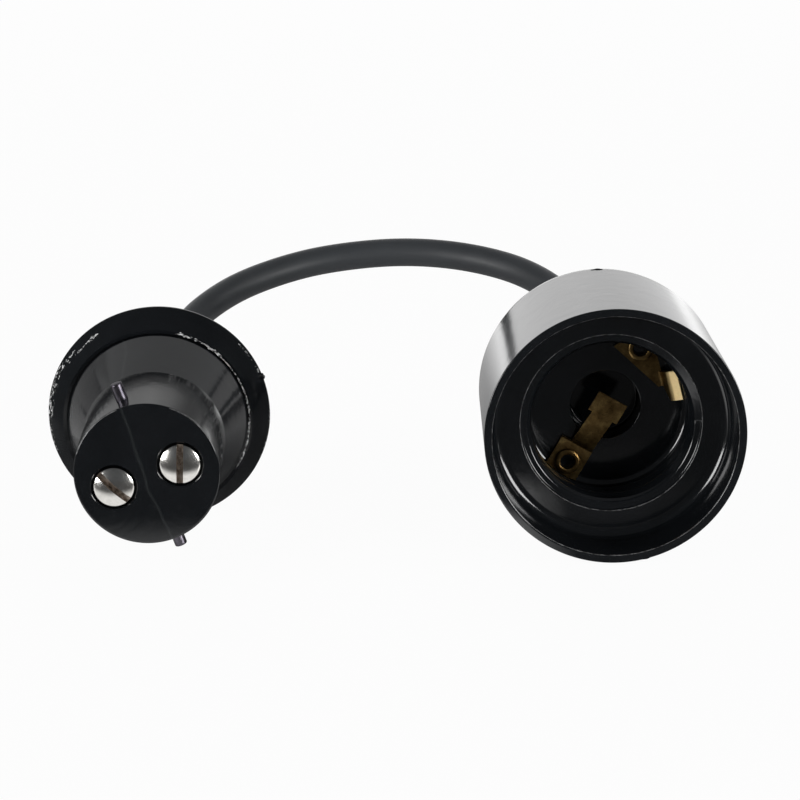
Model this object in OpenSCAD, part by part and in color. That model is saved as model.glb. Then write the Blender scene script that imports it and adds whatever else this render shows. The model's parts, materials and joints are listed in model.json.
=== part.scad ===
// Lamp holder adapter: a bayonet cap plug and an E27 screw lamp holder joined by a short cord.
// The plug and the holder lie on a table, their mouths facing -Y and their cord ends facing +Y.
// Z = 0 is the table, X runs from the plug to the holder. All sizes are in millimetres.
// Depths are measured backwards from the plug's face or from the holder's rim.

/* [Layout] */
// Distance between the plug's axis and the holder's axis
axis_gap = 70.9; // [60:0.1:80]
// How far the holder's rim stands behind the plug's face
rim_set_back = 5.6; // [2:0.1:9]
// Angle by which the plug's face points down as it rests on its flange
plug_lean = 1.27; // [0:0.01:3]
// Clearance between pieces that slide together
slide_gap = 0.05; // [0.02:0.01:0.1]
// Small chamfer on moulded and turned edges
edge = 0.4; // [0.2:0.05:0.5]

/* [Plug nose] */
// Radius of the nose at its face
nose_r = 11; // [10.8:0.05:11.3]
// Growth of the nose's radius from its face to its crease, which lets it leave the mould
nose_draft = 0.11; // [0:0.01:0.3]
// Depth of the crease where the nose starts to flare
nose_len = 17.15; // [16:0.05:19]
// Chamfer round the face
face_chamfer = 0.3; // [0.1:0.05:0.6]
// Depth to which the nose is solid round its contacts
nose_solid = 12; // [11:0.1:13]
// Room round the contact bushes in the hollow nose
bush_room = 1.1; // [0.5:0.05:1.3]
// Growth of the radius from the crease to the edge of the flare
flare_w = 3.16; // [2.6:0.01:3.6]
// Length of the flare
flare_len = 9.7; // [8:0.05:12]
// Step from the flare's edge down to the spigot that the cover takes hold of
spigot_step = 1.27; // [1:0.01:1.6]
// Wall of the spigot
spigot_wall = 2; // [1.5:0.1:2.5]
// Length of the spigot behind the cover's seat
spigot_len = 3.5; // [2.5:0.1:3.8]

/* [Bayonet pins] */
// Radius of a bayonet pin
pin_r = 0.95; // [0.9:0.05:1.1]
// Depth of the pins' axis behind the face
pin_depth = 4.9; // [4.5:0.1:8]
// Length by which a pin stands out of the nose
pin_out = 2.65; // [2:0.05:2.8]
// Length of a pin that is buried in the nose
pin_buried = 4; // [2.5:0.1:5]
// Direction of the upper pin, seen from the front
pin_angle = 109.5; // [100:0.5:124]
// Chamfer at the tip of a pin
pin_chamfer = 0.2; // [0.1:0.05:0.4]

/* [Plug contacts] */
// Distance between the two contact screws
contact_gap = 10.6; // [10:0.1:11.4]
// Direction of the line through the contact screws, seen from the front
contact_angle = 19; // [10:1:32]
// Distance of the contact screws' centre line below the plug's axis
contact_drop = 0.3; // [0:0.05:0.3]
// Radius of a contact screw's head
contact_head_r = 3.05; // [2.6:0.05:3.2]
// Height of the head's straight side
contact_head_side = 1.8; // [0.9:0.05:1.9]
// Height of the head's dome
contact_dome = 0.7; // [0.4:0.05:0.9]
// Clear ring round the head in its recess
contact_ring = 0.4; // [0.2:0.05:0.6]
// Depth of the recess that a head sits in
contact_recess = 1.9; // [1.7:0.05:2.2]
// Width of the screwdriver slot
contact_slot_w = 1; // [0.7:0.05:1.2]
// Depth of the screwdriver slot below the dome's top
contact_slot_depth = 1.1; // [0.8:0.05:1.3]
// Direction of the left screw's slot
slot_angle_left = -43; // [-80:1:80]
// Direction of the right screw's slot
slot_angle_right = 88; // [10:1:170]
// Radius of a contact screw's shank
contact_shank_r = 1.45; // [1.2:0.05:1.5]
// Length of a contact screw's shank
contact_shank_len = 7.1; // [5:0.1:7.6]
// Outside radius of a contact bush
bush_r = 2.4; // [2.2:0.05:2.6]
// Length by which a contact bush stands out behind the solid nose
bush_out = 2.5; // [1.5:0.1:4]
// Depth of the cup in the bush's rear end that takes the core
bush_cup = 3; // [2:0.1:3.4]

/* [Plug cover] */
// Radial gap between the flare's edge and the cover's lip
lip_gap = 0.2; // [0.1:0.05:0.3]
// Width of the cover's lip
lip_w = 0.55; // [0.4:0.05:0.8]
// Depth of the cover's lip behind the flare's edge
lip_set_back = 0.55; // [0.4:0.05:0.8]
// Depth of the seat behind the flare's edge
seat_set_back = 1.15; // [1:0.05:1.5]
// Width by which the cover's flange stands out beyond the flare
flange_w = 3.44; // [3:0.01:4.5]
// Length of the cover's conical shoulder, behind the flare's edge
shoulder_len = 4.75; // [4.2:0.05:5.5]
// Width of the flange's band
flange_band = 0.75; // [0.5:0.05:1]
// Step from the flange in to the cover's taper
taper_step = 3.11; // [2.8:0.01:3.6]
// Length of the cover's taper, from the flange to the neck
taper_len = 12.65; // [11:0.05:16]
// Radius of the cord neck on the cover and on the cap
neck_r = 6.5; // [6:0.05:7]
// Length of the plug's straight neck
plug_neck_len = 3; // [2.6:0.1:4]

/* [Cord] */
// Diameter of the cord's sheath
cord_d = 5; // [4.6:0.1:5.2]
// Clearance round the cord in the necks
neck_clear = 0.25; // [0.15:0.05:0.4]
// Diameter of an insulated core
core_d = 1.8; // [1.5:0.1:2]
// Length of sheath that shows inside, in front of the grip and of the clamp's saddle
sheath_out = 0.8; // [0.4:0.1:1.5]

/* [Plug cord grip] */
// Length of the grip's collar
grip_collar = 1.5; // [1:0.1:1.8]
// Length of the grip's taper
grip_taper = 5.2; // [4.5:0.1:5.4]
// Radius of the grip's collar
grip_r = 6.2; // [5.6:0.1:6.6]
// Radius of the grip's small end
grip_tip_r = 3.5; // [3.3:0.05:3.9]
// Gap between the two halves of the grip
grip_split = 0.6; // [0.4:0.1:1]

/* [Holder shroud] */
// Width of the flat band round the rim
rim_band = 1.25; // [1:0.05:1.5]
// Loss of outside radius from the rim to the back of the body
body_draft = 0.51; // [0.2:0.01:0.7]
// Depth of the ring floor inside the shroud
ring_depth = 8.1; // [7.8:0.05:8.4]
// Radius of the fillet round the ring floor
ring_fillet = 0.6; // [0.3:0.05:0.9]
// Loss of inside radius from the rim to the ring floor
shroud_draft = 0.35; // [0.1:0.05:0.6]
// Thickness of the ring floor
ring_floor = 2.5; // [2:0.1:3]
// Gap between the socket's barrel and the shell round it
barrel_gap = 2; // [1.5:0.05:3]
// Wall of the shell at its rear end
shell_wall = 2.02; // [1.6:0.01:2.6]
// Length of the shell behind the socket's floor
rear_room = 7.86; // [7.4:0.02:10]

/* [Lamp socket] */
// Radius of the screw thread's crest
thread_crest_r = 12.3; // [12.1:0.01:12.4]
// Radial depth of the screw thread
thread_depth = 0.95; // [0.8:0.05:1]
// Pitch of the screw thread, as on an E27 lamp
thread_pitch = 3.63; // [3.5:0.01:3.7]
// Width of the thread's groove at its mouth
thread_mouth = 1.55; // [1.2:0.05:1.7]
// Width of the thread's groove at its bottom
thread_bottom = 0.6; // [0.4:0.05:0.8]
// Direction in which the groove opens at the mouth, seen from the front
thread_start = 62; // [0:1:359]
// Width of the bevel at the socket's mouth
mouth_w = 1.8; // [1.4:0.05:2.1]
// Depth of the bevel at the socket's mouth
mouth_bevel = 0.75; // [0.5:0.05:1]
// Length of the threaded wall
thread_len = 6.45; // [5.5:0.05:8]
// Radial step from the thread's bottom out to the chamber below it
chamber_step = 0.25; // [0.15:0.05:0.4]
// Depth of the chamber below the threaded wall
chamber_len = 3.7; // [3.6:0.05:5]
// Fillet between the chamber and the floor
chamber_fillet = 0.9; // [0.5:0.05:1]
// Thickness of the socket's floor
floor_t = 3; // [2.5:0.1:3.2]
// Wall of the socket's barrel round the chamber
barrel_wall = 2; // [1.6:0.05:2.6]
// Distance from the edge of the round well to the eyelets' axes
well_gap = 5.3; // [5.1:0.1:6]
// Depth of the well below the floor
well_depth = 5; // [4:0.1:5.2]
// Wall of the boss round the well
well_wall = 2.3; // [2:0.1:2.5]

/* [Socket contacts] */
// Distance from an eyelet's axis to the chamber's wall
eyelet_in = 2.7; // [2.5:0.05:3]
// Direction from the axis to the side contact's eyelet, seen from the front
eyelet_angle = 60; // [55:1:65]
// Turn from the side contact's eyelet to the centre contact's, seen from the front
centre_turn = 176; // [170:1:180]
// Outside radius of an eyelet's tube
eyelet_r = 1.45; // [1.35:0.05:1.5]
// Wall of an eyelet's tube
eyelet_wall = 0.3; // [0.2:0.05:0.4]
// Radius of an eyelet's rolled ends
eyelet_flange_r = 2; // [1.9:0.05:2.2]
// Thickness of an eyelet's rolled ends
eyelet_flange_t = 0.35; // [0.3:0.05:0.4]
// Room for a contact's foot to rock, above it and below it
foot_room = 0.25; // [0.22:0.01:0.3]
// Room between the edge of a foot and the chamber's wall
foot_edge_gap = 0.45; // [0.35:0.05:0.6]
// Thickness of the contacts' brass strip
strip_t = 0.5; // [0.4:0.05:0.6]
// Length of the centre contact's foot
foot_len = 6.6; // [5:0.1:7]
// Width of the centre contact's foot
foot_w = 5.5; // [5:0.1:6]
// Width of the centre contact's arm
arm_w = 3.7; // [3.2:0.1:4.2]
// Length of the centre contact's pad
pad_len = 3.4; // [2.6:0.1:3.6]
// Width of the centre contact's pad
pad_w = 5.1; // [4.6:0.1:5.4]
// Turn of the centre contact's strip from the line through its eyelet and the axis
arm_turn = 4; // [0:0.5:6]
// Distance by which the pad's middle lies past the axis
pad_past = 0.3; // [0:0.05:0.5]
// Rise of the pad above the foot
pad_rise = 2.1; // [1.8:0.05:2.4]
// Distance from the middle of the side contact's tab to the chamber's wall
tab_in = 1.5; // [1.4:0.05:2.2]
// Direction from the axis to the middle of the tab, seen from the front
tab_angle = 18.5; // [12:0.1:20]
// Direction that the tab faces away from
tab_turn = 14; // [10:0.5:20]
// Width of the side contact's tab
tab_w = 4.8; // [4.4:0.1:5.4]
// Width of the neck below the tab
tab_neck_w = 2.4; // [2:0.1:2.8]
// Rise of the tab's top above the foot
tab_rise = 2.35; // [2:0.05:2.5]

/* [Holder terminals] */
// Thickness of a terminal's plate
plate_t = 0.8; // [0.6:0.05:1]
// Length of a terminal's plate, along the radius
plate_len = 4.8; // [4.4:0.1:5]
// Distance from the eyelet to the terminal's block
block_at = 5.5; // [5.2:0.1:5.7]
// Width of the terminal's block
block_w = 4.6; // [4:0.1:5]
// Height of the terminal's block
block_h = 4.8; // [4.4:0.1:4.9]
// Radius of a terminal screw's head
terminal_head_r = 1.5; // [1.3:0.05:1.6]
// Height of a terminal screw's head
terminal_head_h = 1; // [0.8:0.05:1.2]
// Radius of a terminal screw's shank
terminal_shank_r = 0.9; // [0.8:0.05:1]

/* [Holder cap] */
// Length of the neck behind the dome
cap_neck_len = 5.5; // [4:0.1:8]
// Length of the cap's spigot inside the shell
cap_spigot_len = 2.6; // [2:0.1:2.8]
// Radial clearance round the cap's spigot
cap_clear = 0.15; // [0.08:0.01:0.25]
// Wall of the cap's spigot and dome
cap_wall = 1.7; // [1.5:0.1:2]
// Step of the cap's edge inside the body's edge
cap_step = 0.2; // [0.1:0.05:0.4]
// Height of the cap's straight edge
cap_edge = 0.75; // [0.5:0.05:1]
// Height of the cap's dome
cap_dome = 7.9; // [7.5:0.1:8.2]

/* [Cord clamp] */
// Half of the clamp's length across the cord
clamp_half = 8; // [7.7:0.1:8.3]
// Distance from the saddle's front to the clamp
clamp_set_back = 0.5; // [0.2:0.1:0.8]
// Width of the clamp along the cord
clamp_w = 4; // [3.6:0.1:4.4]
// Thickness of the clamp above its meeting face
clamp_t = 3.2; // [3:0.1:3.6]
// Half of the gap between the clamp and its saddle
clamp_gap = 1; // [0.8:0.05:1.2]
// Distance from the dome's base to the front of the saddle
saddle_in = 0.9; // [0.5:0.1:1.2]
// Distance of a clamp screw from the cord's axis
clamp_screw_at = 5.8; // [5.5:0.1:6]
// Radius of a clamp screw's shank
clamp_shank_r = 1.1; // [1:0.05:1.2]
// Radius of a clamp screw's head
clamp_head_r = 1.9; // [1.7:0.05:2]
// Height of a clamp screw's head
clamp_head_h = 1.3; // [1.1:0.05:1.5]

/* [Hidden] */
fine = 96;
small = 48;
over = 1;

// Colours, as they look on the object
black = [0.035, 0.036, 0.038];
brass = [0.62, 0.45, 0.18];
nickel = [0.78, 0.77, 0.74];
pin_grey = [0.3, 0.29, 0.3];
sheath_grey = [0.17, 0.18, 0.195];
brown = [0.3, 0.16, 0.08];
blue = [0.1, 0.25, 0.6];

// Plug
nose_end_r = nose_r + nose_draft;
flare_r = nose_end_r + flare_w;
flare_depth = nose_len + flare_len;
spigot_r = flare_r - spigot_step;
flange_r = flare_r + flange_w;
flange_depth = flare_depth + shoulder_len;
flange_back = flange_depth + flange_band;
plug_neck_base = flange_back + taper_len;
plug_len = plug_neck_base + plug_neck_len;
nose_bore_r = contact_gap / 2 + bush_r + bush_room;
seat_depth = flare_depth + seat_set_back;
spigot_end = seat_depth + spigot_len;
lip_r = flare_r + lip_gap;
pin_root_r = nose_r - pin_buried;
pin_tip_r = nose_r + pin_out;
contact_shank_end = contact_recess + contact_shank_len;
contact_hole_r = bush_r + slide_gap / 2;
bush_end = nose_solid + bush_out;
cord_r = cord_d / 2;
core_r = core_d / 2;
core_off = cord_r * 0.46;
neck_bore_r = cord_r + neck_clear;
grip_back = plug_neck_base;
grip_seat = grip_back - grip_taper;
grip_front = grip_seat - grip_collar;
plug_sheath_end = grip_front - sheath_out;

// Holder, from the screw thread outwards and from the rim backwards
thread_root_r = thread_crest_r + thread_depth;
chamber_r = thread_root_r + chamber_step;
mouth_r = thread_crest_r + mouth_w;
barrel_r = chamber_r + barrel_wall;
shell_bore_r = barrel_r + barrel_gap;
shell_r = shell_bore_r + shell_wall;
rim_r = shell_r + body_draft;
shroud_r = rim_r - rim_band;
ring_r = shroud_r - shroud_draft;
thread_top = ring_depth + mouth_bevel;
thread_end = thread_top + thread_len;
floor_depth = thread_end + chamber_len;
floor_back = floor_depth + floor_t;
body_len = floor_back + rear_room;
eyelet_at = chamber_r - eyelet_in;
well_r = eyelet_at - well_gap;
boss_r = well_r + well_wall;
boss_end = floor_depth + well_depth + well_wall;
foot_bottom = floor_depth - foot_room;
foot_mid = foot_bottom - strip_t / 2;
eyelet_top = foot_bottom - strip_t - foot_room;
pad_depth = foot_mid - pad_rise;
side_x = eyelet_at * cos(eyelet_angle);
side_y = eyelet_at * sin(eyelet_angle);
tab_at = chamber_r - tab_in;
tab_x = tab_at * cos(tab_angle);
tab_y = tab_at * sin(tab_angle);
block_end = floor_back + block_h;
cap_spigot_r = shell_bore_r - cap_clear;
cap_r = shell_r - cap_step;
cap_dome_base = body_len + cap_edge;
dome_end = cap_dome_base + cap_dome;
holder_len = dome_end + cap_neck_len;
saddle_front = cap_dome_base + saddle_in;
clamp_front = saddle_front + clamp_set_back;
holder_sheath_end = saddle_front - sheath_out;
wire_hole_r = core_r + edge * 0.75;

// Where the two halves lie: the box round both is centred on the origin
plug_x = -(axis_gap + rim_r - flange_r) / 2;
holder_x = plug_x + axis_gap;
face_lean = nose_r * sin(plug_lean);
back_end = max(plug_len * cos(plug_lean) + neck_r * sin(plug_lean), rim_set_back + holder_len);
plug_face_y = (face_lean - back_end) / 2;
holder_rim_y = plug_face_y + rim_set_back;
plug_z = flange_r * cos(plug_lean) - flange_depth * sin(plug_lean);
holder_z = rim_r;

// Points on the axes of the plug and of the holder at a depth
function on_plug_axis(d) = [plug_x, plug_face_y + d * cos(plug_lean), plug_z + d * sin(plug_lean)];
function on_holder_axis(d) = [holder_x, holder_rim_y + d, holder_z];

// Route of the cord, chosen by hand on the photographed curve, from inside the plug to inside the holder
cord_route = [
    on_plug_axis(plug_sheath_end), on_plug_axis(plug_len - 5), on_plug_axis(plug_len),
    on_plug_axis(plug_len + 4), [-36.4, 33, 19],
    [-35.4, 40.5, 21.1], [-33.9, 45.4, 22.7], [-31.5, 50.3, 24.3], [-26.1, 56.9, 26.5],
    [-19.2, 62, 28.2], [-11.2, 65.5, 29.5], [-0.3, 67.1, 30.4], [8.4, 66.1, 30.5],
    [16.7, 63.2, 29.9], [24, 58.3, 28.7], [29.5, 51.8, 26.8], [31.7, 47, 25.1],
    [33.2, 42.1, 23.3], [34, 37.4, 21.8], [34.3, 32.5, 20.6],
    on_holder_axis(holder_len + 4), on_holder_axis(holder_len), on_holder_axis(holder_len - 7),
    on_holder_axis(holder_sheath_end)
];

// Helpers

// Points of an arc or of a quarter of an ellipse, from one angle to another
function arc(centre, rx, ry, from, to, steps) = [
    for (i = [0:steps])
        let (a = from + (to - from) * i / steps)
        [centre[0] + rx * cos(a), centre[1] + ry * sin(a)]
];

function unit(v) = v / norm(v);

// Direction of a path at one of its points
function heading(path, i) = unit(path[min(i + 1, len(path) - 1)] - path[max(i - 1, 0)]);

// Outline of a bent strip of thickness t along a line of points
function ribbon(line, t) = let (
    normals = [for (i = [0:len(line) - 1]) let (d = heading(line, i)) [-d[1], d[0]]]
) concat(
    [for (i = [0:len(line) - 1]) line[i] + normals[i] * t / 2],
    [for (i = [len(line) - 1:-1:0]) line[i] - normals[i] * t / 2]
);

// Corners of one ring of a tube, square to the path
function ring(path, i, r, sides) = let (
    ahead = heading(path, i),
    across = unit(cross(ahead, abs(ahead[2]) < 0.9 ? [0, 0, 1] : [1, 0, 0])),
    up = cross(across, ahead)
) [for (k = [0:sides - 1]) path[i] + r * (cos(360 * k / sides) * across + sin(360 * k / sides) * up)];

// Tube swept along a path
module tube(path, r, sides) {
    rings = len(path);
    polyhedron(
        points = [for (i = [0:rings - 1]) for (p = ring(path, i, r, sides)) p],
        faces = concat(
            [[for (k = [sides - 1:-1:0]) k]],
            [for (i = [0:rings - 2]) for (k = [0:sides - 1])
                [i * sides + k, i * sides + (k + 1) % sides,
                 (i + 1) * sides + (k + 1) % sides, (i + 1) * sides + k]],
            [[for (k = [0:sides - 1]) (rings - 1) * sides + k]]
        )
    );
}

// Turns an outline of [radius, depth] points about the axis
module turned(outline) {
    rotate_extrude($fn = fine) polygon([for (p = outline) [p[0], -p[1]]]);
}

// Round bar between two depths
module bar(r, from, to, facets = small) {
    translate([0, 0, -to]) cylinder(r = r, h = to - from, $fn = facets);
}

// Upright slab of an outline in the plane of the strip's length and depth
module side_slab(outline, w) {
    translate([0, w / 2, 0]) rotate([90, 0, 0]) linear_extrude(height = w)
        polygon([for (p = outline) [p[0], -p[1]]]);
}

// Plan outline carried through the depth of the socket
module plan_slab(outline) {
    translate([0, 0, -floor_depth]) linear_extrude(height = floor_depth) polygon(outline);
}

module at_plug() {
    translate([plug_x, plug_face_y, plug_z]) rotate([90 + plug_lean, 0, 0]) children();
}

module at_holder() {
    translate([holder_x, holder_rim_y, holder_z]) rotate([90, 0, 0]) children();
}

// side is -1 for the left contact and 1 for the right one
module at_contact(side) {
    translate([0, -contact_drop, 0]) rotate([0, 0, contact_angle])
        translate([side * contact_gap / 2, 0, 0]) children();
}

// Plug

// Radial pin or pin hole, from the buried end to the given radius
module pin_bar(angle, r, tip) {
    rotate([0, 0, angle]) translate([pin_root_r, 0, -pin_depth]) rotate([0, 90, 0])
        cylinder(r = r, h = tip - pin_root_r, $fn = small);
}

module plug_body() {
    color(black) at_plug() difference() {
        turned([
            [0, 0], [nose_r - face_chamfer, 0], [nose_r, face_chamfer],
            [nose_end_r, nose_len], [flare_r, flare_depth], [flare_r, seat_depth],
            [spigot_r, seat_depth], [spigot_r, spigot_end], [spigot_r - spigot_wall, spigot_end],
            [spigot_r - spigot_wall, seat_depth - spigot_wall],
            [nose_bore_r, nose_len + spigot_wall / 2], [nose_bore_r, nose_solid],
            [0, nose_solid]
        ]);
        for (side = [-1, 1]) at_contact(side) {
            bar(contact_head_r + contact_ring, -over, contact_recess);
            bar(contact_hole_r, contact_recess - over / 2, nose_solid + over);
        }
        for (turn = [0, 180]) pin_bar(pin_angle + turn, pin_r, nose_r + over);
    }
}

module bayonet_pin(turn) {
    color(pin_grey) at_plug() rotate([0, 0, pin_angle + turn]) translate([0, 0, -pin_depth])
        rotate([0, 90, 0]) rotate_extrude($fn = small) polygon([
            [0, pin_root_r], [pin_r, pin_root_r], [pin_r, pin_tip_r - pin_chamfer],
            [pin_r - pin_chamfer, pin_tip_r], [0, pin_tip_r]
        ]);
}

module contact_screw(side, slot_angle) {
    dome_base = contact_recess - contact_head_side;
    dome_top = dome_base - contact_dome;
    dome_r = (contact_head_r * contact_head_r + contact_dome * contact_dome) / (2 * contact_dome);
    color(nickel) at_plug() at_contact(side) difference() {
        turned(concat(
            [[0, contact_shank_end], [0, dome_top]],
            [for (i = [1:8])
                let (r = contact_head_r * i / 8)
                [r, dome_top + dome_r - sqrt(dome_r * dome_r - r * r)]],
            [[contact_head_r, contact_recess], [contact_shank_r, contact_recess],
             [contact_shank_r, contact_shank_end - edge], [contact_shank_r - edge, contact_shank_end]]
        ));
        rotate([0, 0, slot_angle - contact_angle])
            translate([-contact_head_r - over, -contact_slot_w / 2, -dome_top - contact_slot_depth])
                cube([2 * (contact_head_r + over), contact_slot_w, contact_slot_depth + over]);
    }
}

module contact_bush(side) {
    color(brass) at_plug() at_contact(side) difference() {
        bar(bush_r, contact_recess, bush_end);
        bar(contact_shank_r + slide_gap, 0, contact_shank_end + edge);
        bar(core_r + 2 * slide_gap, bush_end - bush_cup, bush_end + over);
    }
}

// Insulated core from the end of the sheath to a bush; side is -1 or 1
module plug_core(side, tint) {
    bush_x = side * contact_gap / 2 * cos(contact_angle);
    bush_y = side * contact_gap / 2 * sin(contact_angle) - contact_drop;
    start = side * core_off;
    straight = core_d;
    free = plug_sheath_end - bush_end - 2 * straight;
    color(tint) at_plug() tube([
        [start, 0, -plug_sheath_end],
        for (i = [0:6])
            let (s = i / 6, k = s * s * (3 - 2 * s))
            [start + (bush_x - start) * k, bush_y * k, -plug_sheath_end + straight + free * s],
        [bush_x, bush_y, -bush_end + bush_cup * 0.9]
    ], core_r, 8);
}

module plug_cover() {
    lip_front = flare_depth + lip_set_back;
    taper_r = flange_r - taper_step;
    color(black) at_plug() turned([
        [lip_r, lip_front], [lip_r + lip_w, lip_front], [flange_r, flange_depth], [flange_r, flange_back],
        [flange_r - edge, flange_back + taper_len * 0.05],
        [flange_r - taper_step * 0.5, flange_back + taper_len * 0.09],
        [taper_r, flange_back + taper_len * 0.15],
        [taper_r - taper_step * 0.45, flange_back + taper_len * 0.36],
        [neck_r + (taper_r - neck_r) * 0.3, plug_neck_base - taper_len * 0.2],
        [neck_r, plug_neck_base], [neck_r, plug_len - edge], [neck_r - edge, plug_len],
        [neck_bore_r + edge, plug_len], [neck_bore_r, plug_len - edge], [neck_bore_r, grip_back],
        [grip_tip_r + slide_gap, grip_back], [grip_r + slide_gap, grip_seat],
        [grip_r + 2 * edge, grip_seat], [spigot_r - spigot_wall, grip_front],
        [spigot_r + slide_gap, spigot_end + edge], [spigot_r + slide_gap, seat_depth],
        [lip_r, seat_depth]
    ]);
}

// One half of the taper that grips the cord; side is -1 or 1
module plug_grip_half(side) {
    color(black) at_plug() intersection() {
        turned([
            [cord_r + slide_gap, grip_front], [grip_r, grip_front], [grip_r, grip_seat],
            [grip_tip_r, grip_back], [cord_r + slide_gap, grip_back]
        ]);
        translate([side > 0 ? grip_split / 2 : -grip_split / 2 - 2 * grip_r, -2 * grip_r, -grip_back - over])
            cube([2 * grip_r, 4 * grip_r, grip_back - grip_front + 2 * over]);
    }
}

// Cord

module cord() {
    color(sheath_grey) tube(cord_route, cord_r, 12);
}

// Holder

// Helical groove of the screw thread, deeper as it turns clockwise seen from the front
module thread_groove() {
    steps = 32;
    lead_in = thread_pitch / 3;
    run_out = thread_end + (floor_depth - thread_end) * 0.27;
    turns = (run_out - thread_top + lead_in) / thread_pitch;
    count = ceil(turns * steps);
    inside = thread_crest_r - thread_depth * 0.6;
    slope = (thread_mouth - thread_bottom) / 2 / thread_depth;
    half_in = thread_mouth / 2 + slope * thread_depth * 0.6;
    half_out = thread_bottom / 2;
    section = [[inside, -half_in], [inside, half_in], [thread_root_r, half_out], [thread_root_r, -half_out]];
    points = [
        for (i = [0:count])
            let (a = thread_start + lead_in / thread_pitch * 360 - 360 * i / steps)
            let (d = thread_top - lead_in + thread_pitch * i / steps)
            for (s = section) [s[0] * cos(a), s[0] * sin(a), -(d + s[1])]
    ];
    polyhedron(points = points, faces = concat(
        [[0, 1, 2, 3]],
        [for (i = [0:count - 1]) for (k = [0:3])
            let (b = i * 4, n = (k + 1) % 4)
            each [[b + k, b + 4 + k, b + 4 + n], [b + k, b + 4 + n, b + n]]],
        [[count * 4 + 3, count * 4 + 2, count * 4 + 1, count * 4]]
    ));
}

module holder_body() {
    fillet_r = ring_r - ring_fillet;
    chamber_floor_r = chamber_r - chamber_fillet;
    color(black) at_holder() difference() {
        turned(concat(
            [[shroud_r, 0], [rim_r - edge / 2, 0], [rim_r, edge / 2], [shell_r, body_len],
             [shell_bore_r, body_len], [shell_bore_r, ring_depth + ring_floor + barrel_gap / 2],
             [shell_bore_r - barrel_gap / 2, ring_depth + ring_floor], [barrel_r, ring_depth + ring_floor],
             [barrel_r, floor_back - edge], [barrel_r - edge, floor_back], [boss_r, floor_back],
             [boss_r, boss_end], [0, boss_end], [0, floor_depth + well_depth],
             [well_r, floor_depth + well_depth], [well_r, floor_depth + edge / 2],
             [well_r + edge / 2, floor_depth]],
            arc([chamber_floor_r, floor_depth - chamber_fillet], chamber_fillet, chamber_fillet, 90, 0, 6),
            [[chamber_r, thread_end + chamber_len * 0.24], [thread_crest_r, thread_end],
             [thread_crest_r, thread_top], [mouth_r - edge / 2, ring_depth + edge / 4],
             [mouth_r, ring_depth]],
            arc([fillet_r, ring_depth - ring_fillet], ring_fillet, ring_fillet, 90, 0, 5)
        ));
        for (turn = [0, centre_turn]) rotate([0, 0, eyelet_angle + turn]) translate([eyelet_at, 0, 0])
            bar(eyelet_r + slide_gap, floor_depth - over, floor_back + over);
        thread_groove();
    }
}

module holder_cap() {
    flare = 2 * edge;
    dome_w = cap_r - neck_r - flare;
    inner_w = cap_spigot_r - cap_wall - neck_r + flare;
    inner_h = cap_dome - cap_wall;
    saddle_back = cap_dome_base + inner_h + edge;
    color(black) at_holder() difference() {
        union() {
            turned(concat(
                [[cap_spigot_r - cap_wall, body_len - cap_spigot_len],
                 [cap_spigot_r, body_len - cap_spigot_len], [cap_spigot_r, body_len], [cap_r, body_len]],
                arc([neck_r + flare, cap_dome_base], dome_w, cap_dome, 0, 90, 12),
                [[neck_r + flare / 4, dome_end + flare], [neck_r, dome_end + 2 * flare],
                 [neck_r, holder_len - edge], [neck_r - edge, holder_len],
                 [neck_bore_r + edge, holder_len], [neck_bore_r, holder_len - edge],
                 [neck_bore_r, cap_dome_base + inner_h]],
                arc([neck_r - flare, cap_dome_base], inner_w, inner_h, 90, 0, 10)
            ));
            translate([-clamp_half, -neck_r, -saddle_back])
                cube([2 * clamp_half, neck_r - clamp_gap, saddle_back - saddle_front]);
        }
        bar(cord_r + slide_gap, saddle_front - over, dome_end);
        for (side = [-1, 1]) clamp_hole(side, clamp_shank_r + slide_gap, -neck_r + edge, 0);
    }
}

// Upright hole or shank of a clamp screw between two heights
module clamp_hole(side, r, from, to) {
    translate([side * clamp_screw_at, from, -clamp_front - clamp_w / 2]) rotate([-90, 0, 0])
        cylinder(r = r, h = to - from, $fn = small);
}

module cord_clamp() {
    color(black) at_holder() difference() {
        translate([-clamp_half, clamp_gap, -clamp_front - clamp_w])
            cube([2 * clamp_half, clamp_t, clamp_w]);
        bar(cord_r + slide_gap / 2, clamp_front - over, clamp_front + clamp_w + over);
        for (side = [-1, 1])
            clamp_hole(side, clamp_shank_r + 4 * slide_gap, 0, clamp_gap + clamp_t + over);
    }
}

module cord_clamp_screw(side) {
    head_base = clamp_gap + clamp_t;
    color(nickel) at_holder() difference() {
        union() {
            clamp_hole(side, clamp_shank_r, -neck_r + 2 * edge, head_base);
            clamp_hole(side, clamp_head_r, head_base, head_base + clamp_head_h);
        }
        translate([side * clamp_screw_at - clamp_head_r - over, head_base + clamp_head_h * 0.5,
                   -clamp_front - clamp_w / 2 - clamp_head_h / 4])
            cube([2 * (clamp_head_r + over), clamp_head_h, clamp_head_h / 2]);
    }
}

// Eyelet that holds a contact and its terminal on the floor
module eyelet(turn) {
    back = floor_back + plate_t;
    color(brass) at_holder() rotate([0, 0, eyelet_angle + turn]) translate([eyelet_at, 0, 0])
        turned([
            [eyelet_r - eyelet_wall, eyelet_top - eyelet_flange_t * 0.7],
            [eyelet_r, eyelet_top - eyelet_flange_t], [eyelet_flange_r, eyelet_top - eyelet_flange_t * 0.4],
            [eyelet_flange_r, eyelet_top], [eyelet_r, eyelet_top], [eyelet_r, back],
            [eyelet_flange_r, back], [eyelet_flange_r, back + eyelet_flange_t],
            [eyelet_r - eyelet_wall, back + eyelet_flange_t]
        ]);
}

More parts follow.
